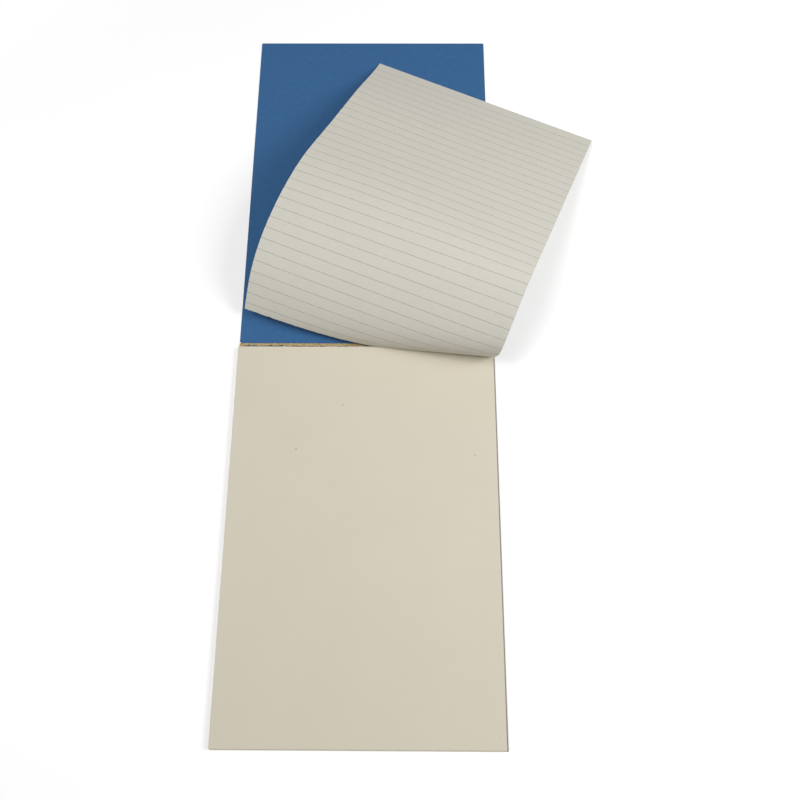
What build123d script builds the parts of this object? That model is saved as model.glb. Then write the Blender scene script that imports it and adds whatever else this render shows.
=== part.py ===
# Writing pad, glued at its head, lying open on a table.
# The cover is folded back flat, the plain pages lie on the back cover, and one feint ruled
# sheet, torn free along the left half of its head, is turned over and arches across the cover.
#
# Millimetres. X runs along the head, to the right. Y runs from the foot to the head.
# Z is up. The origin is the middle of the back cover's underside.
from build123d import *
from math import radians, sin, cos
import os
import random

# Driving dimensions: pages and covers
pad_width = 148.0
pad_length = 210.0
stack_height = 2.6
card = 0.4
cover_length = 212.3
spine_width = 3.2
fold_gap = 0.3
foot_fan = 0.8
side_fan = 0.6

# Driving dimensions: dried glue and torn remnants along the head
glue_film = 0.3
glue_below_top = 0.2
spine_film = 0.15
spine_film_clearance = 0.15
remnant_thickness = 0.15
remnant_depth = 0.9
remnant_pitch = 2.6
remnant_seed = 7

# Driving dimensions: the ruled sheet as it was cut
sheet_width = 146.0
sheet_length = 207.2
sheet_thickness = 0.2
sheet_left_margin = 0.2
corner_flare = 2.0
flare_length = 60.0
sheet_lift = 0.1

# How the ruled sheet bends, from the glued edge to its flat far part.
# It leaves the head at a tilt, bends in a fan of creases that meet where the glue ends,
# and then rolls over creases whose heading and bend change from one station to the next.
# A bend is the turn that the sheet would make over one station at that rate.
glued_from = 8.0
tilt_deg = 21.9
fan_deg = 57.2
fan_creases = 16
station_step = 30.0
crease_heading_deg = [-16.8, -11.4, -4.7, 11.6, 11.6]
bend_deg_per_station = [111.6, 21.6, 24.3, 20.7, 0.0]
creases_per_station = 30

# Grid that the sheet's surface passes through
rows_along = 34
rows_across = 12
surface_tolerance = 0.02

block_top = card + stack_height
head = pad_length / 2
foot = -pad_length / 2
left = -pad_width / 2
right = pad_width / 2
spine_end = head + spine_width


def between(values, place):
    """Value at a place along the roll, counted in stations, on straight lines between them."""
    first = int(place)
    share = place - first
    return values[first] * (1 - share) + values[first + 1] * share


def sheet_creases():
    """Creases of the flat sheet, head first: a point on each, its heading and its bend."""
    start = Vector(glued_from, 0, 0)
    creases = [(start, 0.0, tilt_deg)]
    for i in range(fan_creases):
        heading = crease_heading_deg[0] * (i + 0.5) / fan_creases
        creases.append((start, heading, fan_deg / fan_creases))
    first = radians(crease_heading_deg[0])
    downhill = Vector(sin(first), -cos(first), 0)
    for i in range(creases_per_station * (len(bend_deg_per_station) - 1)):
        place = (i + 0.5) / creases_per_station
        heading = between(crease_heading_deg, place)
        bend = between(bend_deg_per_station, place) / creases_per_station
        creases.append((start + downhill * place * station_step, heading, bend))
    return creases


creases = sheet_creases()


def sheet_point(across, along, depth):
    """Place of a point of the bent sheet, by its share of the width, its distance from the
    head and its depth in the paper.

    The flat point is turned about every crease between it and the head, the last one first."""
    flare_from = sheet_length - flare_length
    flare = corner_flare * (max(along - flare_from, 0) / flare_length) ** 2
    width = sheet_width + flare
    x = left + sheet_left_margin - flare + across * width
    flat = Vector(x, -along, depth)
    point = flat
    for start, heading, bend in reversed(creases):
        direction = Vector(cos(radians(heading)), sin(radians(heading)), 0)
        offset = flat - start
        if offset.X * direction.Y - offset.Y * direction.X >= 0:
            point = start + (point - start).rotate(Axis(start, direction), -bend)
    return point + Vector(0, head - sheet_lift, block_top + sheet_lift)


def sheet_surface(depth):
    """Smooth surface through a grid of the bent sheet's points at one depth."""
    grid = []
    for j in range(rows_along + 1):
        along = sheet_length * j / rows_along
        grid.append([sheet_point(i / rows_across, along, depth) for i in range(rows_across + 1)])
    return Face.make_surface_from_array_of_points(grid, tol=surface_tolerance)


# Back cover: one card under the pages, whose folded spine strip lies flat beyond the head
with BuildPart() as back_cover:
    with BuildSketch(Plane.XY) as back_outline:
        with Locations((0, foot)):
            Rectangle(pad_width, pad_length + spine_width, align=(Align.CENTER, Align.MIN))
    extrude(amount=card)

# Front cover: folded back, lying flat on the table beyond the spine strip
with BuildPart() as front_cover:
    with BuildSketch(Plane.XY) as front_outline:
        with Locations((0, spine_end + fold_gap)):
            Rectangle(pad_width, cover_length, align=(Align.CENTER, Align.MIN))
    extrude(amount=card)

# Page block: the stack of plain sheets, whose lower sheets stand out at the foot and right
with BuildPart() as page_block:
    with BuildSketch(Plane.XY.offset(card)) as bottom_sheet:
        with Locations((left, head)):
            Rectangle(pad_width, pad_length, align=(Align.MIN, Align.MAX))
    with BuildSketch(Plane.XY.offset(block_top)) as top_sheet:
        with Locations((left, head)):
            Rectangle(pad_width - side_fan, pad_length - foot_fan, align=(Align.MIN, Align.MAX))
    loft()

# Head glue: the film that holds the sheets together
with BuildPart() as head_glue:
    with BuildSketch(Plane.XY.offset(card)) as head_film:
        with Locations((0, head)):
            Rectangle(pad_width - side_fan, glue_film, align=(Align.CENTER, Align.MIN))
    extrude(amount=stack_height - glue_below_top)

# Spine glue: the amber film left on the spine strip
with BuildPart() as spine_glue:
    film_start = head + glue_film
    film_end = spine_end - spine_film_clearance
    with BuildSketch(Plane.XY.offset(card)) as spine_strip:
        with Locations((0, film_start)):
            Rectangle(pad_width, film_end - film_start, align=(Align.CENTER, Align.MIN))
    extrude(amount=spine_film)

# Torn remnants: the ragged edge of torn sheets on the head, left of the glued part
with BuildPart() as torn_remnants:
    rng = random.Random(remnant_seed)
    corners = [(left + remnant_pitch, head)]
    x = left + remnant_pitch
    while x < glued_from - remnant_pitch:
        corners.append((x, head + glue_film + remnant_depth * rng.uniform(0.1, 1.0)))
        x += remnant_pitch * rng.uniform(0.3, 1.2)
    corners.append((x, head))
    with BuildSketch(Plane.XY.offset(block_top - glue_below_top)) as ragged_edge:
        with BuildLine():
            Polyline(corners, close=True)
        make_face()
    extrude(amount=remnant_thickness)

# Ruled sheet: one thin sheet, bent along its creases
lower_side = sheet_surface(0)
upper_side = sheet_surface(sheet_thickness)
side_pairs = zip(lower_side.edges(), upper_side.edges())
cut_edges = [Face.make_surface_from_curves(lower, upper) for lower, upper in side_pairs]
with BuildPart() as ruled_sheet:
    add(Solid(Shell([lower_side, upper_side] + cut_edges)))

back_cover.part.label = "back_cover"
front_cover.part.label = "front_cover"
page_block.part.label = "page_block"
head_glue.part.label = "head_glue"
spine_glue.part.label = "spine_glue"
torn_remnants.part.label = "torn_remnants"
ruled_sheet.part.label = "ruled_sheet"

os.makedirs("parts", exist_ok=True)
export_step(back_cover.part, "parts/back_cover.step")
export_step(front_cover.part, "parts/front_cover.step")
export_step(page_block.part, "parts/page_block.step")
export_step(head_glue.part, "parts/head_glue.step")
export_step(spine_glue.part, "parts/spine_glue.step")
export_step(torn_remnants.part, "parts/torn_remnants.step")
export_step(ruled_sheet.part, "parts/ruled_sheet.step")
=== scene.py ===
import math

import bpy
import numpy as np
from bpy.props import FloatProperty, FloatVectorProperty, IntProperty, PointerProperty
from mathutils import Matrix, Vector


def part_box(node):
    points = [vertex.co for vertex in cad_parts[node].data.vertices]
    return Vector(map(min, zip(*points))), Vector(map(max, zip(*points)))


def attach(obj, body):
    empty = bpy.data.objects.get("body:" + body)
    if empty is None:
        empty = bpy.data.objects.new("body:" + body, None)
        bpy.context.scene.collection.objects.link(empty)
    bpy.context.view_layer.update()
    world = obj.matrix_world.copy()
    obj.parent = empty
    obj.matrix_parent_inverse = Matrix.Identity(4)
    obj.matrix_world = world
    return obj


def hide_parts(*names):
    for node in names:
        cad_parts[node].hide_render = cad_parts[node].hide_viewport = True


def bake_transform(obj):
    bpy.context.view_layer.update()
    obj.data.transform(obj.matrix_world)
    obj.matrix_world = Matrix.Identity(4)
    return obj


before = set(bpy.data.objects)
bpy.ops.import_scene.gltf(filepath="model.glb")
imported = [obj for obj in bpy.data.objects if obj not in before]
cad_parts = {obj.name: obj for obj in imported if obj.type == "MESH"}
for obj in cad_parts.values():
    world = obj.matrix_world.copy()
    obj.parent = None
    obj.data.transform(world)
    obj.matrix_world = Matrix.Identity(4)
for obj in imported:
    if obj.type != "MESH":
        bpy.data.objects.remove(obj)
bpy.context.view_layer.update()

bl_info = {
    "name": "Open writing pad",
    "version": (1, 0, 0),
    "blender": (4, 5, 0),
    "location": "View3D > Sidebar > Writing pad",
    "description": "Dresses an open writing pad with paper, card, glue and a half torn ruled sheet",
    "category": "Add Mesh",
}

MM = 0.001

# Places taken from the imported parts, in metres
PAGES_LOW, PAGES_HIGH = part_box("page_block")
BACK_LOW, BACK_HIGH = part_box("back_cover")
FRONT_LOW, FRONT_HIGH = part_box("front_cover")
GLUE_LOW, GLUE_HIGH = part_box("head_glue")
SPINE_LOW, SPINE_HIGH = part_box("spine_glue")
SCRAPS_LOW, SCRAPS_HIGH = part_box("torn_remnants")


def length_property(name, description, default):
    """A size in metres, shown with its unit."""
    return FloatProperty(name=name, description=description, default=default, unit="LENGTH", precision=5)


def angle_property(name, description, degrees):
    """An angle, kept in radians and shown in degrees."""
    return FloatProperty(name=name, description=description, default=math.radians(degrees), unit="ROTATION")


def angles_property(name, description, degrees):
    """A row of angles, kept in radians and shown in degrees."""
    return FloatVectorProperty(
        name=name, description=description, default=[math.radians(value) for value in degrees],
        size=len(degrees), unit="ROTATION"
    )


def place_property(name, description, default):
    """A point in metres."""
    return FloatVectorProperty(
        name=name, description=description, default=default, subtype="TRANSLATION", unit="LENGTH"
    )


def power_property(name, description, default):
    """A lamp's power in watts."""
    return FloatProperty(name=name, description=description, default=default, unit="POWER")


def colour_property(name, description, default):
    """A linear colour."""
    return FloatVectorProperty(
        name=name, description=description, default=default, subtype="COLOR", size=3, min=0, max=1
    )


def share_property(name, description, default):
    """A plain number from 0 to 1."""
    return FloatProperty(name=name, description=description, default=default, min=0, max=1)


class PagesSettings(bpy.types.PropertyGroup):
    """Sizes and colours of the stack of plain sheets"""

    sheets: IntProperty(name="Sheets", description="Sheets in the stack", default=26, min=2)
    side_fan: length_property("Side fan", "How far the lowest sheet stands out at the right", 1.1 * MM)
    foot_fan: length_property("Foot fan", "How far the lowest sheet stands out at the foot", 1.25 * MM)
    foot_overhang: length_property("Foot overhang", "How far it passes the back card there", 0.45 * MM)
    stray: length_property("Stray", "How far single sheets stand out of line", 0.12 * MM)
    gap: share_property("Gap", "Share of a sheet's height that is open under it and over it", 0.08)
    cockle: length_property("Cockle", "Height of the top sheet's gentle waves", 0.10 * MM)
    colour: colour_property("Paper", "Cream writing paper", (0.684, 0.634, 0.515))
    edge_colour: colour_property("Cut edge", "Cut edges of the sheets", (0.520, 0.450, 0.370))
    # Painted shade: a dark colour for the lower sheets' edges that stand out at the right, in place of the
    # shade between their steps
    edge_shade_colour: colour_property("Painted edge shade", "Painted shade on the fanned right edges", (0.240, 0.190, 0.180))
    speck_colour: colour_property("Specks", "Small fibres in the top sheet", (0.30, 0.28, 0.22))
    tooth: share_property("Tooth", "Strength of the paper's fine grain", 0.10)


class SheetSettings(bpy.types.PropertyGroup):
    """Cut size, bend and ruling of the half torn sheet"""

    width: length_property("Width", "Width as cut", 146.0 * MM)
    length: length_property("Length", "Length as cut", 207.2 * MM)
    thickness: length_property("Thickness", "Thickness of the paper", 0.12 * MM)
    left_margin: length_property("Left margin", "Distance of its left edge from the pad's", 0.2 * MM)
    flare: length_property("Corner flare", "How far the foot's left corner is out of square", 2.0 * MM)
    flare_length: length_property("Flare length", "Length of the edge that runs out of square", 60.0 * MM)
    lift: length_property("Lift", "Height of the glued edge over the top sheet", 0.1 * MM)
    glued_from: length_property("Glued from", "Where the glue begins, from the middle line", 7.5 * MM)
    tilt: angle_property("Tilt", "Slope at which the sheet leaves the glue", 3.0)
    fold_heading: angle_property("Fold heading", "Heading of the fold that lies on the pages", -5.0)
    fold_spread: angle_property("Fold spread", "Width of the fold, as an angle where the glue ends", 2.6)
    fold_bend: angle_property("Fold bend", "Bend of the fold that lies on the pages", 66.0)
    fan_bend: angle_property("Fan bend", "Bend between the fold and the roll", 12.4)
    fan_creases: IntProperty(name="Fan creases", description="In the fold and in the fan", default=20, min=1)
    station: length_property("Station", "Distance between the places where the roll is set", 30.0 * MM)
    roll_headings: angles_property(
        "Roll headings", "Heading of the roll's creases at each place", (-19.4, -11.2, -6.2, 9.8, 9.8)
    )
    roll_bends: angles_property(
        "Roll bends", "Bend over one station, at each place", (106.1, 21.6, 20.7, 25.1, 0.0)
    )
    roll_creases: IntProperty(name="Roll creases", description="Between two places", default=60, min=1)
    cockle: length_property("Cockle", "Height of the sheet's gentle waves", 0.18 * MM)
    sag: length_property("Sag", "Depth of the long wave along the free left edge", 1.6 * MM)
    sag_length: length_property("Sag length", "Length of that wave", 147.0 * MM)
    sag_place: length_property("Sag place", "Distance of its lowest point from the head", 103.0 * MM)
    sag_reach: length_property("Sag reach", "How far the wave reaches in from the left edge", 90.0 * MM)
    tear: length_property("Tear", "Depth of the raggedness along the torn head", 0.35 * MM)
    pitch: length_property("Ruling pitch", "Distance between ruled lines", 6.32 * MM)
    first_line: length_property("First line", "Distance of the first line from the head", 4.46 * MM)
    narrow_gap: length_property("Narrow gap", "How much one gap of the ruling is too small", 0.5 * MM)
    narrow_after: IntProperty(name="Narrow after", description="Line over the narrow gap", default=14, min=1)
    lines: IntProperty(name="Lines", description="Number of ruled lines", default=32, min=1)
    line_width: length_property("Line width", "Width of a ruled line", 0.32 * MM)
    colour: colour_property("Paper", "Thin off-white paper", (0.653, 0.631, 0.560))
    line_colour: colour_property("Ruling", "Feint grey-olive ink", (0.330, 0.325, 0.275))
    speck_colour: colour_property("Specks", "Small fibres in the sheet", (0.26, 0.25, 0.20))
    tooth: share_property("Tooth", "Strength of the paper's fine grain", 0.12)


class CoverSettings(bpy.types.PropertyGroup):
    """Finish of the card covers"""

    corner: length_property("Corner radius", "Radius of the card's worn corners", 0.7 * MM)
    edge: length_property("Edge radius", "Radius of the card's pressed edges", 0.12 * MM)
    colour: colour_property("Card", "Blue card", (0.0395, 0.1310, 0.2960))
    core_colour: colour_property("Card core", "Cut edge of the card", (0.150, 0.205, 0.260))
    tooth: share_property("Tooth", "Strength of the card's grain", 0.22)


class GlueSettings(bpy.types.PropertyGroup):
    """Finish of the dried glue and of the torn scraps in it"""

    bump: length_property("Glue relief", "Height of the film's ripples", 0.05 * MM)
    amber: colour_property("Amber glue", "Dried padding glue", (0.310, 0.205, 0.075))
    pale: colour_property("Pale glue", "Glue with paper fibres in it", (0.530, 0.395, 0.185))
    fleck: colour_property("Flecks", "White flecks of paper in the glue", (0.72, 0.69, 0.60))
    scrap_depth: length_property("Scrap depth", "How far the torn scraps stand out", 0.9 * MM)
    scrap_curl: length_property("Scrap curl", "How far the torn scraps curl up or down", 0.25 * MM)
    scrap_colour: colour_property("Torn scraps", "Torn blue-grey paper", (0.070, 0.098, 0.115))
    # Painted shade for the gaps between the torn scraps
    scrap_gap_shade: colour_property("Gap shade", "Painted shade in the gaps between the scraps", (0.040, 0.034, 0.024))
    scrap_pale: colour_property("Torn fibres", "Torn white fibres", (0.420, 0.400, 0.330))


class StageSettings(bpy.types.PropertyGroup):
    """Floor, lamps and camera"""

    floor_size: length_property("Floor", "Side of the square floor", 6.0)
    floor_drop: length_property("Floor drop", "How far the floor lies under the pad", 0.05 * MM)
    floor_glow: share_property("Floor glow", "Light that the camera sees the near floor give", 0.3)
    glow_from: length_property("Glow from", "Where the floor starts to fade to white", 0.32)
    glow_full: length_property("Glow full", "Where the floor is white", 0.9)
    key_power: power_property("Key power", "Power of the lamp low at the right", 2.37)
    key_size: length_property("Key size", "Side of the lamp at the right", 0.3)
    key_place: place_property("Key place", "Middle of the lamp at the right", (0.50, 0.05, 0.45))
    fill_power: power_property("Fill power", "Power of the lamp high at the left", 3.7)
    fill_size: length_property("Fill size", "Side of the lamp at the left", 0.4)
    fill_place: place_property("Fill place", "Middle of the lamp at the left", (-0.346, 0.10, 0.822))
    lit_middle: place_property("Lit middle", "Where both lamps look", (0.02, 0.10, 0.0))
    world_strength: FloatProperty(name="Sky", description="Strength of the even light", default=0.21)
    camera_place: place_property("Camera place", "Where the camera stands", (0.02134, -0.01605, 0.34179))
    camera_pitch: angle_property("Camera pitch", "Lean of the view away from straight down", 14.79)
    camera_yaw: angle_property("Camera yaw", "Turn of the view about the upright", 1.193)
    camera_roll: angle_property("Camera roll", "Turn of the picture", -0.947)
    focal_length: FloatProperty(name="Focal length", description="For a 36 mm frame", default=27.99)


# Mesh helpers

SHARP_ANGLE = math.radians(40)


def smooth_step(value):
    """Ramp from 0 to 1 with level ends: three times the square less twice the cube."""
    clipped = np.clip(value, 0, 1)
    return clipped * clipped * (3 - 2 * clipped)


def waves(x, y, seed, count=7, longest=0.09, shortest=0.02):
    """Sum of a few sine waves of different headings, lengths and phases, scaled to about 1."""
    rng = np.random.default_rng(seed)
    total = np.zeros_like(x)
    for wave_length in np.geomspace(longest, shortest, count):
        heading, phase = rng.uniform(0, 2 * math.pi, 2)
        along = x * math.cos(heading) + y * math.sin(heading)
        total += wave_length / longest * np.sin(2 * math.pi * along / wave_length + phase)
    return total / math.sqrt(count)


def ragged(places, seed, step):
    """Random height from 0 to 1 at each place, on straight lines between knots a step apart."""
    rng = np.random.default_rng(seed)
    knots = np.arange(places.min() - step, places.max() + 2 * step, step)
    return np.interp(places, knots, rng.uniform(0, 1, len(knots)))


def grid_faces(rows, columns, closed=False):
    """Quads of a grid of points, row by row; a closed grid joins its last column to its first."""
    row, column = np.meshgrid(np.arange(rows - 1), np.arange(columns - (not closed)), indexing="ij")
    following = (column + 1) % columns
    corners = [row * columns + column, row * columns + following,
               (row + 1) * columns + following, (row + 1) * columns + column]
    return np.stack(corners, axis=-1).reshape(-1, 4)


def mesh_piece(name, points, faces, body, material, uv=None, smooth=True):
    """A mesh object from arrays of points and faces, with one material, riding on a body if given."""
    mesh = bpy.data.meshes.new(name)
    mesh.from_pydata(points.tolist(), [], [list(face) for face in faces])
    if uv is not None:
        layer = mesh.uv_layers.new(name="sheet")
        loops = np.empty(len(mesh.loops), dtype=np.int32)
        mesh.loops.foreach_get("vertex_index", loops)
        layer.data.foreach_set("uv", uv[loops].astype(np.float32).ravel())
    mesh.polygons.foreach_set("use_smooth", np.full(len(mesh.polygons), smooth))
    mesh.materials.append(material)
    mesh.validate()
    mesh.set_sharp_from_angle(angle=SHARP_ANGLE)
    piece = bpy.data.objects.new(name, mesh)
    bpy.context.scene.collection.objects.link(piece)
    if body:
        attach(piece, body)
    return piece


def slab(upper, lower):
    """Closed shell from two grids of points of the same shape, one over the other.

    The upper grid faces up, the lower one down, and one band of quads runs round the rim."""
    rows, columns = upper.shape[:2]
    faces = grid_faces(rows, columns)
    count = rows * columns
    number = np.arange(count).reshape(rows, columns)
    rim = np.concatenate([number[0, :-1], number[:-1, -1], number[-1, :0:-1], number[:0:-1, 0]])
    following = np.roll(rim, -1)
    band = np.stack([rim, rim + count, following + count, following], axis=-1)
    points = np.concatenate([upper.reshape(-1, 3), lower.reshape(-1, 3)])
    return points, np.concatenate([faces, faces[:, ::-1] + count, band])


# Material helpers

class Graph:
    """Short ways to add shader nodes and to join them."""

    def __init__(self, tree):
        self.tree = tree

    def node(self, kind, inputs=None, **settings):
        """A node of a kind, with its settings and its inputs, each a value or another socket."""
        node = self.tree.nodes.new(kind)
        for key, value in settings.items():
            setattr(node, key, value)
        for key, value in (inputs or {}).items():
            self.feed(node.inputs[key], value)
        return node

    def feed(self, socket, value):
        """Joins a socket to another one, or gives it a plain value."""
        if isinstance(value, bpy.types.NodeSocket):
            self.tree.links.new(value, socket)
        else:
            socket.default_value = value

    def maths(self, operation, *values):
        """A Math node on the values; returns its result."""
        return self.node("ShaderNodeMath", dict(enumerate(values)), operation=operation).outputs[0]

    def ramp(self, value, low, high):
        """Smooth step of a value from 0 at low to 1 at high."""
        inputs = {"Value": value, "From Min": low, "From Max": high}
        return self.node("ShaderNodeMapRange", inputs, interpolation_type="SMOOTHSTEP").outputs[0]

    def mix(self, share, first, second):
        """Blend of two colours."""
        node = self.node("ShaderNodeMix", data_type="RGBA")
        self.feed(node.inputs["Factor"], share)
        self.feed(node.inputs["A"], first)
        self.feed(node.inputs["B"], second)
        return node.outputs["Result"]

    def noise(self, place, scale, detail=2.0, roughness=0.5):
        """Noise texture's value."""
        inputs = {"Vector": place, "Scale": scale, "Detail": detail, "Roughness": roughness}
        return self.node("ShaderNodeTexNoise", inputs).outputs["Fac"]


def opaque(colour):
    """Colour with a full alpha."""
    return (*colour, 1.0)


def new_group(name, inputs, outputs):
    """An empty node group with named sockets; each input has a kind and a default."""
    tree = bpy.data.node_groups.new(name, "ShaderNodeTree")
    for label, (kind, default) in inputs.items():
        socket = tree.interface.new_socket(label, in_out="INPUT", socket_type=kind)
        if default is not None:
            socket.default_value = default
    for label, kind in outputs.items():
        tree.interface.new_socket(label, in_out="OUTPUT", socket_type=kind)
    return tree, tree.nodes.new("NodeGroupInput").outputs, tree.nodes.new("NodeGroupOutput").inputs


def paper_group():
    """Paper and card: cloudy tint, fine fibres, and a height for the bump.

    Cloud and Fibre give how much the tint changes, and the two scales are per metre."""
    name = "Paper tooth"
    if name in bpy.data.node_groups:
        return bpy.data.node_groups[name]
    tree, given, result = new_group(name, {
        "Vector": ("NodeSocketVector", None),
        "Colour": ("NodeSocketColor", (0.8, 0.8, 0.8, 1)),
        "Cloud": ("NodeSocketFloat", 0.04),
        "Cloud scale": ("NodeSocketFloat", 60.0),
        "Fibre": ("NodeSocketFloat", 0.04),
        "Fibre scale": ("NodeSocketFloat", 2500.0),
    }, {"Colour": "NodeSocketColor", "Height": "NodeSocketFloat", "Roughness": "NodeSocketFloat"})
    graph = Graph(tree)
    cloud = graph.noise(given["Vector"], given["Cloud scale"], 3.0, 0.55)
    fibre = graph.noise(given["Vector"], given["Fibre scale"], 3.0, 0.65)
    cloud_shift = graph.maths("MULTIPLY", graph.maths("SUBTRACT", cloud, 0.5), given["Cloud"])
    fibre_shift = graph.maths("MULTIPLY", graph.maths("SUBTRACT", fibre, 0.5), given["Fibre"])
    level = graph.maths("ADD", 1.0, graph.maths("ADD", cloud_shift, fibre_shift))
    scaled = graph.node("ShaderNodeVectorMath", {0: given["Colour"], "Scale": level}, operation="SCALE")
    graph.feed(result["Colour"], scaled.outputs[0])
    graph.feed(result["Height"], fibre)
    graph.feed(result["Roughness"], graph.maths("ADD", 0.82, graph.maths("MULTIPLY", fibre_shift, 1.5)))
    return tree


def speck_group():
    """A small dark fibre: 1 inside a round spot about a place, and 0 outside it."""
    name = "Speck"
    if name in bpy.data.node_groups:
        return bpy.data.node_groups[name]
    tree, given, result = new_group(name, {
        "Vector": ("NodeSocketVector", None),
        "Place": ("NodeSocketVector", None),
        "Radius": ("NodeSocketFloat", 0.4 * MM),
    }, {"Mask": "NodeSocketFloat"})
    graph = Graph(tree)
    distance = graph.node(
        "ShaderNodeVectorMath", {0: given["Vector"], 1: given["Place"]}, operation="DISTANCE"
    ).outputs["Value"]
    share = graph.maths("DIVIDE", distance, given["Radius"])
    graph.feed(result["Mask"], graph.maths("SUBTRACT", 1.0, graph.ramp(share, 0.5, 1.2)))
    return tree


def start_material(name):
    """A new material: its graph and its Principled shader."""
    material = bpy.data.materials.new(name)
    material.use_nodes = True
    graph = Graph(material.node_tree)
    return material, graph, material.node_tree.nodes["Principled BSDF"]


def paper_finish(graph, shader, place, colour, tooth, bump_distance, shine=0.25, **scales):
    """Puts the paper group between a colour and the shader."""
    node = graph.node("ShaderNodeGroup")
    node.node_tree = paper_group()
    graph.feed(node.inputs["Vector"], place)
    graph.feed(node.inputs["Colour"], colour)
    for key, value in scales.items():
        graph.feed(node.inputs[key.replace("_", " ")], value)
    bump = graph.node(
        "ShaderNodeBump",
        {"Strength": tooth, "Distance": bump_distance, "Height": node.outputs["Height"]},
    )
    graph.feed(shader.inputs["Base Color"], node.outputs["Colour"])
    graph.feed(shader.inputs["Roughness"], node.outputs["Roughness"])
    graph.feed(shader.inputs["Normal"], bump.outputs["Normal"])
    shader.inputs["Specular IOR Level"].default_value = shine


def object_place(graph):
    """Object coordinates, in metres."""
    return graph.node("ShaderNodeTexCoord").outputs["Object"]


def add_specks(graph, place, colour, specks, height, speck_colour):
    """Darkens a colour at a few specks at one height, each a place and a radius in millimetres."""
    for (x, y), radius in specks:
        node = graph.node("ShaderNodeGroup")
        node.node_tree = speck_group()
        graph.feed(node.inputs["Vector"], place)
        graph.feed(node.inputs["Place"], (x * MM, y * MM, height))
        graph.feed(node.inputs["Radius"], radius * MM)
        colour = graph.mix(graph.maths("MULTIPLY", node.outputs["Mask"], 0.7), colour, opaque(speck_colour))
    return colour


def upward_share(graph):
    """How far a face looks up or down: 0 on a wall, 1 on a level face."""
    normal = graph.node("ShaderNodeNewGeometry").outputs["True Normal"]
    split = graph.node("ShaderNodeSeparateXYZ", {0: normal})
    return graph.maths("ABSOLUTE", split.outputs["Z"])


# Pages

# Places on the top sheet in the shared frame, and radii, in millimetres
PAGE_SPECKS = [((-12.6, 70.4), 0.45), ((-37.8, 45.2), 0.55), ((60.9, 42.2), 0.4), ((69.5, -98.5), 0.3)]


def pages_material(settings):
    """Cream paper on the top sheet, fine lines of cut sheets on the sides, and painted shade on the fanned
    right rim.
    """
    material, graph, shader = start_material("Cream pages")
    place = object_place(graph)
    colour = add_specks(graph, place, opaque(settings.colour), PAGE_SPECKS, PAGES_HIGH[2],
                        settings.speck_colour)
    split = graph.node("ShaderNodeSeparateXYZ", {0: place})
    strata_place = graph.node("ShaderNodeCombineXYZ", {
        "X": graph.maths("MULTIPLY", split.outputs["X"], 30.0),
        "Y": graph.maths("MULTIPLY", split.outputs["Y"], 30.0),
        "Z": graph.maths("MULTIPLY", split.outputs["Z"], 9000.0),
    }).outputs[0]
    strata = graph.noise(strata_place, 1.0, 2.0)
    cut = graph.mix(graph.ramp(strata, 0.35, 0.65), opaque(settings.edge_colour), opaque(settings.colour))
    colour = graph.mix(graph.ramp(upward_share(graph), 0.5, 0.9), cut, colour)
    # Painted shade: the lower sheets' edges that stand out past the top sheet at the right are darkened in
    # place of their shade
    top_right = PAGES_HIGH[0] - settings.side_fan
    beyond = graph.ramp(split.outputs["X"], top_right, top_right + 0.3 * MM)
    colour = graph.mix(graph.maths("MULTIPLY", beyond, 0.8), colour, opaque(settings.edge_shade_colour))
    paper_finish(graph, shader, place, colour, settings.tooth, 0.03 * MM,
                 Cloud=0.05, Cloud_scale=28.0, Fibre=0.05, Fibre_scale=2600.0)
    return material


def stack_rings(settings):
    """Outline of each sheet at its lower and its upper face, as rings of points.

    A ring is a rectangle walked round with even steps. Its right and foot sides move in from the
    lowest sheet to the top one, and each sheet strays a little by its own random amounts."""
    rng = np.random.default_rng(11)
    steps = 60
    share = np.linspace(0, 1, steps, endpoint=False)
    zero, one = np.zeros(steps), np.ones(steps)
    across = np.concatenate([share, one, 1 - share, zero])
    along = np.concatenate([zero, share, one, 1 - share])
    rise = (PAGES_HIGH[2] - PAGES_LOW[2]) / settings.sheets
    rings = []
    for number in range(settings.sheets):
        height_share = number / (settings.sheets - 1)
        stray = settings.stray * rng.uniform(0, 1, 3)
        left = PAGES_LOW[0] + stray[0]
        right = PAGES_HIGH[0] - settings.side_fan * height_share - stray[1] * (1 - height_share)
        foot = PAGES_LOW[1] - settings.foot_overhang
        foot += settings.foot_fan * height_share + stray[2] * (1 - height_share)
        head = PAGES_HIGH[1]
        x = left + across * (right - left)
        y = foot + along * (head - foot)
        for part in (settings.gap, 1 - settings.gap):
            z = PAGES_LOW[2] + rise * (number + part)
            rings.append(np.stack([x, y, np.full_like(x, z)], axis=-1))
    return np.array(rings), (left, right, foot, head)


def top_sheet_grid(settings, outline, rows=90, columns=64):
    """The top sheet as a grid: level at its rim and in gentle waves, mostly dips, inside it."""
    left, right, foot, head = outline
    across, along = np.meshgrid(np.linspace(0, 1, columns), np.linspace(0, 1, rows))
    x = left + across * (right - left)
    y = foot + along * (head - foot)
    rim_share, dip = 1 / 8, 1.2
    inside = smooth_step(np.minimum(across, 1 - across) / rim_share)
    inside = inside * smooth_step(np.minimum(along, 1 - along) / rim_share)
    return x, y, PAGES_HIGH[2] + settings.cockle * inside * (waves(x, y, 3) - dip)


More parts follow.
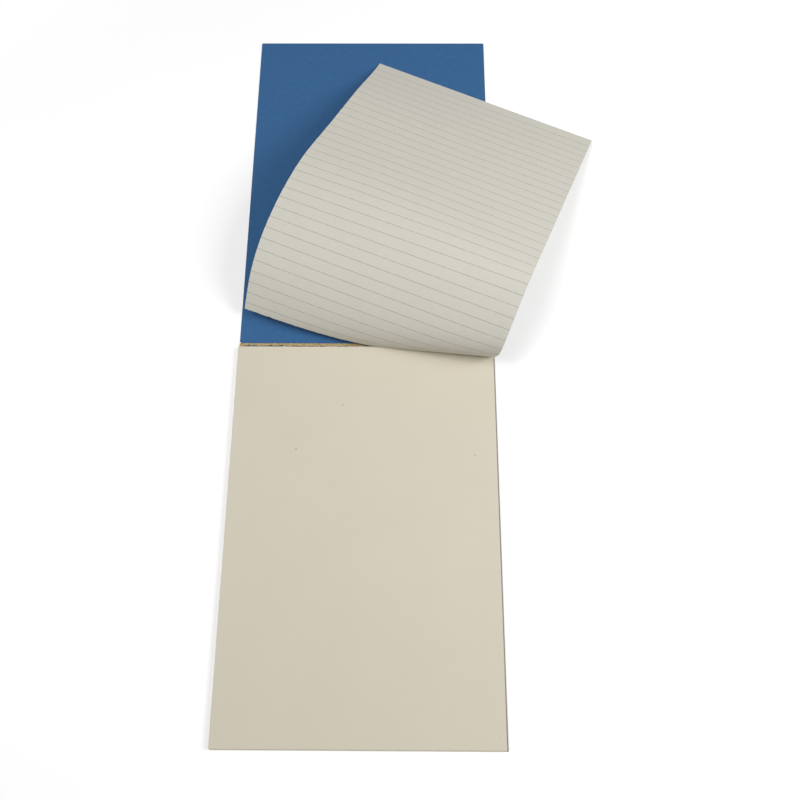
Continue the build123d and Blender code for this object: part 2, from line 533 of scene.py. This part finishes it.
class PAD_OT_pages(bpy.types.Operator):
    """Stack of plain cream sheets: stepped cut edges and a gently waved top sheet"""

    bl_idname = "pad.pages"
    bl_label = "Page block"

    def execute(self, context):
        settings = context.scene.pad_pages
        material = pages_material(settings)
        rings, outline = stack_rings(settings)
        count, size = rings.shape[:2]
        wall = grid_faces(count, size, closed=True)
        underside = [np.arange(size)[::-1]]
        stack = mesh_piece("page_stack", rings.reshape(-1, 3), list(wall) + underside, "pad",
                           material, smooth=False)
        x, y, z = top_sheet_grid(settings, outline)
        upper = np.stack([x, y, z], axis=-1)
        lower = np.stack([x, y, np.full_like(z, rings[-2, 0, 2])], axis=-1)
        points, faces = slab(upper, lower)
        top = mesh_piece("top_page", points, faces, "pad", material)
        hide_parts("page_block")
        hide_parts("page_block")
        return {"FINISHED"}


# Ruled sheet

def sheet_creases(settings):
    """Creases of the flat sheet, head first: places, headings and bends, as three arrays.

    One crease lies along the glued head. Two fans of creases meet where the glue ends: a narrow
    one, the fold that lies on the pages, and a wide one. The rest roll the sheet over, with
    heading and bend on straight lines between stations."""
    count, roll_count = settings.fan_creases, settings.roll_creases
    roll_headings, roll_bends = list(settings.roll_headings), list(settings.roll_bends)
    start = np.array([settings.glued_from, 0.0])
    share = (np.arange(count) + 0.5) / count
    fold_end = settings.fold_heading - settings.fold_spread / 2
    fold_headings = fold_end + settings.fold_spread * (1 - share)
    fan_headings = fold_end + (roll_headings[0] - fold_end) * share
    stations = np.arange(len(roll_bends))
    distance = (np.arange(roll_count * stations[-1]) + 0.5) / roll_count
    downhill = np.array([math.sin(roll_headings[0]), -math.cos(roll_headings[0])])
    places = np.concatenate([np.tile(start, (1 + 2 * count, 1)),
                             start + distance[:, None] * settings.station * downhill])
    headings = np.concatenate([[0.0], fold_headings, fan_headings,
                               np.interp(distance, stations, roll_headings)])
    bends = np.concatenate([[settings.tilt],
                            np.full(count, settings.fold_bend / count),
                            np.full(count, settings.fan_bend / count),
                            np.interp(distance, stations, roll_bends) / roll_count])
    return places, headings, bends


def fold(flat, creases):
    """Bends flat points: each is turned about every crease between it and the head, last first.

    A turn by an angle about a level line keeps the part along the line, and swings the part
    across it and the height round."""
    moved = flat.copy()
    for (px, py), heading, bend in list(zip(*creases))[::-1]:
        along = np.array([math.cos(heading), math.sin(heading)])
        across = np.array([along[1], -along[0]])
        beyond = (flat[:, :2] - (px, py)) @ across >= -1e-9
        offset = moved[beyond, :2] - (px, py)
        reach, height = offset @ across, moved[beyond, 2]
        new_reach = reach * math.cos(bend) - height * math.sin(bend)
        new_height = reach * math.sin(bend) + height * math.cos(bend)
        moved[beyond, :2] += (new_reach - reach)[:, None] * across
        moved[beyond, 2] = new_height
    return moved


def ruling_mask(graph, settings, down):
    """1 on a ruled line and 0 off it, by the distance down the sheet from its head."""
    wide_from = settings.first_line + (settings.narrow_after - 0.5) * settings.pitch
    late = graph.ramp(down, wide_from, wide_from + 0.01 * MM)
    even = graph.maths("ADD", down, graph.maths("MULTIPLY", late, settings.narrow_gap))
    lines = graph.maths("DIVIDE", graph.maths("SUBTRACT", even, settings.first_line), settings.pitch)
    nearest = graph.maths("ROUND", lines)
    nearest = graph.maths("MINIMUM", graph.maths("MAXIMUM", nearest, 0.0), settings.lines - 1.0)
    distance = graph.maths("ABSOLUTE", graph.maths("SUBTRACT", lines, nearest))
    half = 0.5 * settings.line_width / settings.pitch
    return graph.maths("SUBTRACT", 1.0, graph.ramp(distance, 0.6 * half, 1.4 * half))


# Places across and down the flat sheet, and radii, in millimetres
SHEET_SPECKS = [((14.6, 167.8), 0.45), ((35.5, 146.0), 0.4), ((40.2, 182.3), 0.35), ((92.0, 61.0), 0.25)]


def ruled_material(settings):
    """Thin off-white paper with feint ruling, placed by the sheet's own coordinates."""
    material, graph, shader = start_material("Feint ruled paper")
    uv = graph.node("ShaderNodeUVMap", uv_map="sheet").outputs[0]
    size = (settings.width, settings.length, 0.0)
    place = graph.node("ShaderNodeVectorMath", {0: uv, 1: size}, operation="MULTIPLY").outputs[0]
    down = graph.node("ShaderNodeSeparateXYZ", {0: place}).outputs["Y"]
    ink = graph.noise(place, 900.0, 2.0)
    strength = graph.maths("MULTIPLY", ruling_mask(graph, settings, down), graph.ramp(ink, 0.1, 0.62))
    colour = add_specks(graph, place, opaque(settings.colour), SHEET_SPECKS, 0.0, settings.speck_colour)
    colour = graph.mix(strength, colour, opaque(settings.line_colour))
    paper_finish(graph, shader, place, colour, settings.tooth, 0.04 * MM, shine=0.5,
                 Cloud=0.07, Cloud_scale=240.0, Fibre=0.07, Fibre_scale=1900.0)
    return material


class PAD_OT_ruled_sheet(bpy.types.Operator):
    """Feint ruled sheet, torn free along half its head and rolled over the front cover"""

    bl_idname = "pad.ruled_sheet"
    bl_label = "Ruled sheet"

    def execute(self, context):
        settings = context.scene.pad_sheet
        material = ruled_material(settings)
        x, y, height, uv = self.flat_sheet(settings)
        creases = sheet_creases(settings)
        origin = np.array([0, PAGES_HIGH[1] - settings.lift, PAGES_HIGH[2] + settings.lift])
        layers = []
        for depth in (settings.thickness, 0.0):
            flat = np.stack([x.ravel(), y.ravel(), (height + depth).ravel()], axis=-1)
            layers.append((fold(flat, creases) + origin).reshape(*x.shape, 3))
        points, faces = slab(*layers)
        piece = mesh_piece("ruled_leaf", points, faces[:, ::-1], "pad", material,
                           uv=np.concatenate([uv, uv]))
        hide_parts("ruled_sheet")
        return {"FINISHED"}

    def flat_sheet(self, settings, rows=190, columns=110, crowding=1.15):
        """The sheet before it is bent, as grids of x, y and height, and its coordinates for the ruling.

        Rows lie closer at the head, where the fold is tight. The torn part of the head is ragged."""
        across, down = np.meshgrid(np.linspace(0, 1, columns), np.linspace(0, 1, rows))
        down = down ** crowding
        along = down * settings.length
        flare_share = np.clip(1 - (settings.length - along) / settings.flare_length, 0, 1)
        flare = settings.flare * flare_share ** 2
        left = PAGES_LOW[0] + settings.left_margin
        x = left - flare + across * (settings.width + flare)
        torn = smooth_step((settings.glued_from - x) / (6 * MM)) * smooth_step(1 - along / (1.5 * MM))
        y = -along - settings.tear * torn * ragged(x, 5, 0.7 * MM)
        calm_ends = self.calm_ends(settings, along, 40 * MM, 50 * MM)
        height = settings.cockle * calm_ends * waves(x, y, 21, longest=0.08, shortest=0.018)
        height += self.sag(settings, across * settings.width, along)
        uv = np.stack([(x - left) / settings.width, along / settings.length], axis=-1).reshape(-1, 2)
        return x, y, height, uv

    def calm_ends(self, settings, along, at_head, at_foot):
        """0 at the head and the foot of the sheet, and 1 further in than the two given lengths."""
        return smooth_step(along / at_head) * smooth_step((settings.length - along) / at_foot)

    def sag(self, settings, across, along):
        """Long wave of the free left edge: a cosine that dies out inwards and at both ends.

        It is a rise of the flat sheet, which hangs down once the sheet is turned over."""
        wave = np.cos(2 * math.pi * (along - settings.sag_place) / settings.sag_length)
        inwards = np.clip(1 - across / settings.sag_reach, 0, 1) ** 2
        return settings.sag * wave * self.calm_ends(settings, along, 25 * MM, 45 * MM) * inwards


# Covers

def card_material(settings):
    """Blue card, cloudy and finely grained, with a paler cut edge."""
    material, graph, shader = start_material("Blue card")
    place = object_place(graph)
    colour = graph.mix(graph.ramp(upward_share(graph), 0.3, 0.8), opaque(settings.core_colour),
                       opaque(settings.colour))
    paper_finish(graph, shader, place, colour, settings.tooth, 0.05 * MM,
                 Cloud=0.26, Cloud_scale=380.0, Fibre=0.14, Fibre_scale=1500.0)
    return material


def card_shell(low, high, corner, edge):
    """Flat card with rounded corners and pressed edges, as a closed shell.

    Its rings go from the middle of the underside out to the rim and back in over the top. Each
    is a rounded rectangle: at the rim it is pulled in by the edge's quarter circle, and on the
    two faces it is shrunk towards the middle."""
    corner_points, edge_points = 28, 4
    centre, half = (np.array(low) + high) / 2, (np.array(high) - low) / 2
    angle = np.linspace(0, 2 * math.pi, corner_points, endpoint=False) + math.pi / corner_points
    arc = np.stack([np.cos(angle), np.sin(angle)], axis=-1)
    corner_middle = np.sign(arc) * (half[:2] - corner)
    turn = np.linspace(0, math.pi / 2, edge_points)
    insets = edge * (1 - np.cos(turn))
    heights = half[2] - edge * (1 - np.sin(turn))
    upper = [np.column_stack([corner_middle + arc * (corner - inset), np.full(len(arc), height)])
             for inset, height in zip(insets, heights)]
    upper += [upper[-1] * (share, share, 1) for share in (0.85, 0.5, 0.1)]
    lower = [ring * (1, 1, -1) for ring in upper[::-1]]
    rings = np.array(lower + upper) + centre
    count, size = rings.shape[:2]
    faces = list(grid_faces(count, size, closed=True))
    faces += [np.arange(size)[::-1], np.arange(size) + (count - 1) * size]
    return rings.reshape(-1, 3), faces


class PAD_OT_covers(bpy.types.Operator):
    """Front and back cover of blue card, and the fold between them"""

    bl_idname = "pad.covers"
    bl_label = "Covers"

    def execute(self, context):
        settings = context.scene.pad_cover
        material = card_material(settings)
        for name, low, high, body, node in (
            ("back_card", BACK_LOW, BACK_HIGH, "pad", "back_cover"),
            ("front_card", FRONT_LOW, FRONT_HIGH, "cover", "front_cover"),
        ):
            points, faces = card_shell(low, high, settings.corner, settings.edge)
            piece = mesh_piece(name, points, faces, body, material)
            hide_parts(node)
            shading = piece.modifiers.new("Flat faces", "WEIGHTED_NORMAL")
            shading.keep_sharp = True
        self.fold_strip(settings, material)
        return {"FINISHED"}

    def fold_strip(self, settings, material):
        """Thin strip of card across the fold: a level grid whose ends reach a little into both covers; it
        rides on neither body.
        """
        reach, inset = 0.5 * MM, 0.10 * MM
        across = np.linspace(BACK_LOW[0] + settings.corner, BACK_HIGH[0] - settings.corner, 40)
        along = np.linspace(BACK_HIGH[1] - reach, FRONT_LOW[1] + reach, 9)
        x, y = np.meshgrid(across, along)
        upper = np.stack([x, y, np.full_like(x, BACK_HIGH[2] - inset)], axis=-1)
        lower = np.stack([x, y, np.full_like(x, BACK_LOW[2] + inset)], axis=-1)
        points, faces = slab(upper, lower)
        piece = mesh_piece("fold_strip", points, faces, None, material)
        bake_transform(piece)


# Glue and torn scraps

def glue_material(settings):
    """Dried amber glue with pale streaks of fibre along the head."""
    material, graph, shader = start_material("Amber glue")
    place = object_place(graph)
    split = graph.node("ShaderNodeSeparateXYZ", {0: place})
    stretched = graph.node("ShaderNodeCombineXYZ", {
        "X": split.outputs["X"],
        "Y": graph.maths("MULTIPLY", split.outputs["Y"], 5.0),
        "Z": graph.maths("MULTIPLY", split.outputs["Z"], 5.0),
    }).outputs[0]
    streak = graph.noise(stretched, 420.0, 4.0, 0.65)
    colour = graph.mix(graph.ramp(streak, 0.38, 0.62), opaque(settings.amber), opaque(settings.pale))
    fleck = graph.noise(place, 700.0, 2.0)
    colour = graph.mix(graph.ramp(fleck, 0.68, 0.74), colour, opaque(settings.fleck))
    bump = graph.node("ShaderNodeBump", {"Strength": 0.5, "Distance": settings.bump, "Height": streak})
    graph.feed(shader.inputs["Base Color"], colour)
    graph.feed(shader.inputs["Normal"], bump.outputs["Normal"])
    graph.feed(shader.inputs["Roughness"], graph.maths("ADD", 0.38, graph.maths("MULTIPLY", streak, 0.4)))
    return material


def scrap_material(settings):
    """Torn blue-grey paper with pale fibres and painted shade for the gaps between scraps, changing along
    the head.

    The painted gap shade is heaviest at the left, and the fibres get paler towards the glued sheet."""
    material, graph, shader = start_material("Torn scraps")
    place = object_place(graph)
    across = graph.node("ShaderNodeSeparateXYZ", {0: place}).outputs["X"]
    paler = graph.maths("MULTIPLY", graph.ramp(across, -45.0 * MM, 5.0 * MM), 0.16)
    patch = graph.maths("ADD", graph.noise(place, 330.0, 3.0, 0.7), paler)
    colour = graph.mix(graph.ramp(patch, 0.50, 0.66), opaque(settings.scrap_colour),
                       opaque(settings.scrap_pale))
    # Painted shade: dark patches stand in for the shade in the gaps between the scraps, heaviest at the left
    dark = graph.maths("SUBTRACT", graph.noise(place, 520.0, 2.0, 0.6), paler)
    colour = graph.mix(graph.ramp(dark, 0.46, 0.58), colour, opaque(settings.scrap_gap_shade))
    fibre = graph.noise(place, 3000.0, 2.0)
    bump = graph.node("ShaderNodeBump", {"Strength": 0.6, "Distance": 0.08 * MM, "Height": fibre})
    graph.feed(shader.inputs["Base Color"], colour)
    graph.feed(shader.inputs["Normal"], bump.outputs["Normal"])
    graph.feed(shader.inputs["Roughness"], graph.ramp(fibre, -0.6, 1.2))
    return material


class PAD_OT_glue(bpy.types.Operator):
    """Glue film on the head face and on the spine strip, rippled along the head"""

    bl_idname = "pad.glue"
    bl_label = "Glue films"

    def execute(self, context):
        settings = context.scene.pad_glue
        material = glue_material(settings)
        self.head_film(settings, material)
        self.spine_film(settings, material)
        return {"FINISHED"}

    def head_film(self, settings, material):
        """Film on the head face: its outer side swells and dips by random ripples."""
        x, z = np.meshgrid(np.linspace(GLUE_LOW[0], GLUE_HIGH[0], 320),
                           np.linspace(GLUE_LOW[2], GLUE_HIGH[2], 14))
        ripple = waves(x, z * 12, 31, longest=0.012, shortest=0.0012)
        inner = np.stack([x, np.full_like(x, GLUE_LOW[1]), z], axis=-1)
        outer = np.stack([x, GLUE_HIGH[1] - settings.bump * (1 + 0.8 * ripple), z], axis=-1)
        points, faces = slab(inner, outer)
        piece = mesh_piece("head_film", points, faces, "pad", material)
        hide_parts("head_glue")

    def spine_film(self, settings, material):
        """Film on the spine strip: rippled on top, ragged on its long sides, thinner at its rim."""
        x, share = np.meshgrid(np.linspace(SPINE_LOW[0], SPINE_HIGH[0], 420), np.linspace(0, 1, 14))
        back = SPINE_HIGH[1] - 0.18 * MM * ragged(x, 41, 1.1 * MM)
        front = SPINE_LOW[1] + 0.10 * MM * ragged(x, 42, 1.6 * MM)
        y = front + share * (back - front)
        rim = smooth_step(6 * np.minimum(share, 1 - share))
        ripple = waves(x, y, 43, longest=0.010, shortest=0.0010)
        thinning = 0.7 * (SPINE_HIGH[2] - SPINE_LOW[2])
        z = SPINE_HIGH[2] - thinning * (1 - rim) + settings.bump * rim * ripple
        upper = np.stack([x, y, z], axis=-1)
        lower = np.stack([x, y, np.full_like(z, SPINE_LOW[2])], axis=-1)
        points, faces = slab(upper, lower)
        piece = mesh_piece("spine_film", points, faces, "pad", material)
        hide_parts("spine_glue")


# Tufts of torn paper along the head, in millimetres: middle, half length and reach
TUFTS = [(-66.6, 4.6, 1.0), (-56.3, 3.6, 0.8), (-49.6, 2.8, 0.9), (-40.5, 3.6, 0.6), (-26.0, 1.2, 0.5),
         (-10.4, 2.2, 0.55), (-2.8, 2.2, 0.65), (6.2, 1.4, 0.8)]


class PAD_OT_scraps(bpy.types.Operator):
    """Ragged remnants of torn sheets along the head, left of the glued part"""

    bl_idname = "pad.scraps"
    bl_label = "Torn scraps"

    def execute(self, context):
        settings = context.scene.pad_glue
        material = scrap_material(settings)
        x, share = np.meshgrid(np.linspace(SCRAPS_LOW[0], SCRAPS_HIGH[0], 900), np.linspace(0, 1, 7))
        coarse = ragged(x, 51, 1.3 * MM)
        fine = ragged(x, 52, 0.4 * MM)
        between_tufts = 0.12
        tuft = np.full_like(x, between_tufts)
        for middle, half, height in TUFTS:
            inside = smooth_step(1.6 * (1 - np.abs(x / MM - middle) / half))
            tuft = np.maximum(tuft, height * inside)
        uneven = 0.55 + 0.45 * coarse + 0.35 * (fine - 0.5)
        reach = settings.scrap_depth * tuft * uneven
        y = SCRAPS_LOW[1] + share * (GLUE_HIGH[1] - GLUE_LOW[1] + reach)
        curl = settings.scrap_curl * share ** 2 * (ragged(x, 53, 1.7 * MM) - 0.75)
        thickness = SCRAPS_HIGH[2] - SCRAPS_LOW[2]
        upper = np.stack([x, y, SCRAPS_HIGH[2] + curl], axis=-1)
        lower = upper - np.array([0, 0, 1.0]) * thickness * (1 - 0.8 * share)[..., None]
        points, faces = slab(upper, lower)
        piece = mesh_piece("torn_scraps", points, faces, "pad", material)
        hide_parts("torn_remnants")
        return {"FINISHED"}


# Stage

def seen_directly(graph):
    """1 for what the camera, a reflection or glass sees, and 0 for the light that things get."""
    path = graph.node("ShaderNodeLightPath").outputs
    seen = graph.maths("MAXIMUM", path["Is Camera Ray"], path["Is Glossy Ray"])
    return graph.maths("MAXIMUM", seen, path["Is Transmission Ray"])


def floor_material(settings):
    """Pale floor that keeps the shadow and fades to white further out."""
    material, graph, shader = start_material("Pale floor")
    shader.inputs["Base Color"].default_value = (0.85, 0.85, 0.85, 1)
    shader.inputs["Roughness"].default_value = 0.9
    shader.inputs["Specular IOR Level"].default_value = 0.0
    away = graph.node("ShaderNodeVectorMath", {0: object_place(graph)}, operation="LENGTH").outputs["Value"]
    fade = graph.ramp(away, settings.glow_from, settings.glow_full)
    rest = graph.maths("MULTIPLY", fade, 1 - settings.floor_glow)
    glow = graph.maths("ADD", settings.floor_glow, rest)
    shader.inputs["Emission Color"].default_value = (1, 1, 1, 1)
    graph.feed(shader.inputs["Emission Strength"], graph.maths("MULTIPLY", seen_directly(graph), glow))
    return material


class PAD_OT_stage(bpy.types.Operator):
    """Pale floor, white surroundings, two soft lamps and the camera"""

    bl_idname = "pad.stage"
    bl_label = "Stage"

    def execute(self, context):
        settings = context.scene.pad_stage
        self.floor(settings)
        self.sky(settings)
        target = settings.lit_middle
        self.lamp("key_lamp", settings.key_place, target, settings.key_size, settings.key_power)
        self.lamp("fill_lamp", settings.fill_place, target, settings.fill_size, settings.fill_power)
        self.camera(settings)
        context.scene.view_settings.view_transform = "Standard"
        return {"FINISHED"}

    def floor(self, settings):
        """A square floor just under the object."""
        half = settings.floor_size / 2
        mesh = bpy.data.meshes.new("floor")
        corners = [(-half, -half, 0), (half, -half, 0), (half, half, 0), (-half, half, 0)]
        mesh.from_pydata(corners, [], [(0, 1, 2, 3)])
        mesh.transform(Matrix.Translation((0, 0, -settings.floor_drop)))
        mesh.materials.append(floor_material(settings))
        plane = bpy.data.objects.new("floor", mesh)
        bpy.context.scene.collection.objects.link(plane)

    def sky(self, settings):
        """Even light, which the camera, reflections and glass see as white."""
        world = bpy.data.worlds.new("Surroundings")
        bpy.context.scene.world = world
        world.use_nodes = True
        graph = Graph(world.node_tree)
        rest = graph.maths("MULTIPLY", seen_directly(graph), 1.0 - settings.world_strength)
        strength = graph.maths("ADD", settings.world_strength, rest)
        background = world.node_tree.nodes["Background"]
        background.inputs["Color"].default_value = (1, 1, 1, 1)
        graph.feed(background.inputs["Strength"], strength)

    def lamp(self, name, place, target, size, power):
        """A soft square lamp at a place, turned to its target."""
        data = bpy.data.lights.new(name, "AREA")
        data.energy = power
        data.size = size
        lamp = bpy.data.objects.new(name, data)
        lamp.location = place
        aim = lamp.location - Vector(target)
        lamp.rotation_euler = aim.to_track_quat("Z", "Y").to_euler()
        bpy.context.scene.collection.objects.link(lamp)

    def camera(self, settings):
        """The camera, turned by its roll, then its pitch, then its yaw."""
        data = bpy.data.cameras.new("camera")
        data.sensor_width = 36.0
        data.lens = settings.focal_length
        data.clip_start = 0.01
        camera = bpy.data.objects.new("camera", data)
        turn = (Matrix.Rotation(settings.camera_yaw, 4, "Z") @ Matrix.Rotation(settings.camera_pitch, 4, "X")
                @ Matrix.Rotation(settings.camera_roll, 4, "Z"))
        camera.matrix_world = Matrix.Translation(settings.camera_place) @ turn
        bpy.context.scene.collection.objects.link(camera)
        bpy.context.scene.camera = camera


class PAD_PT_panel(bpy.types.Panel):
    """Lists the pad's settings and its pieces"""

    bl_label = "Writing pad"
    bl_space_type = "VIEW_3D"
    bl_region_type = "UI"
    bl_category = "Writing pad"

    def draw(self, context):
        for name, settings in SETTINGS.items():
            box = self.layout.box()
            group = getattr(context.scene, name)
            for key in settings.__annotations__:
                box.prop(group, key)
        for operator in OPERATORS:
            self.layout.operator(operator.bl_idname)


SETTINGS = {
    "pad_pages": PagesSettings,
    "pad_sheet": SheetSettings,
    "pad_cover": CoverSettings,
    "pad_glue": GlueSettings,
    "pad_stage": StageSettings,
}
OPERATORS = [PAD_OT_stage, PAD_OT_pages, PAD_OT_ruled_sheet, PAD_OT_covers, PAD_OT_glue, PAD_OT_scraps]


def register():
    for cls in [*SETTINGS.values(), *OPERATORS, PAD_PT_panel]:
        bpy.utils.register_class(cls)
    for name, settings in SETTINGS.items():
        setattr(bpy.types.Scene, name, PointerProperty(type=settings))


def unregister():
    for name in SETTINGS:
        delattr(bpy.types.Scene, name)
    for cls in [PAD_PT_panel, *OPERATORS[::-1], *list(SETTINGS.values())[::-1]]:
        bpy.utils.unregister_class(cls)


def main():
    """Registers the add-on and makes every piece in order."""
    register()
    for operator in OPERATORS:
        group, name = operator.bl_idname.split(".")
        getattr(getattr(bpy.ops, group), name)()


if __name__ == "__main__":
    main()
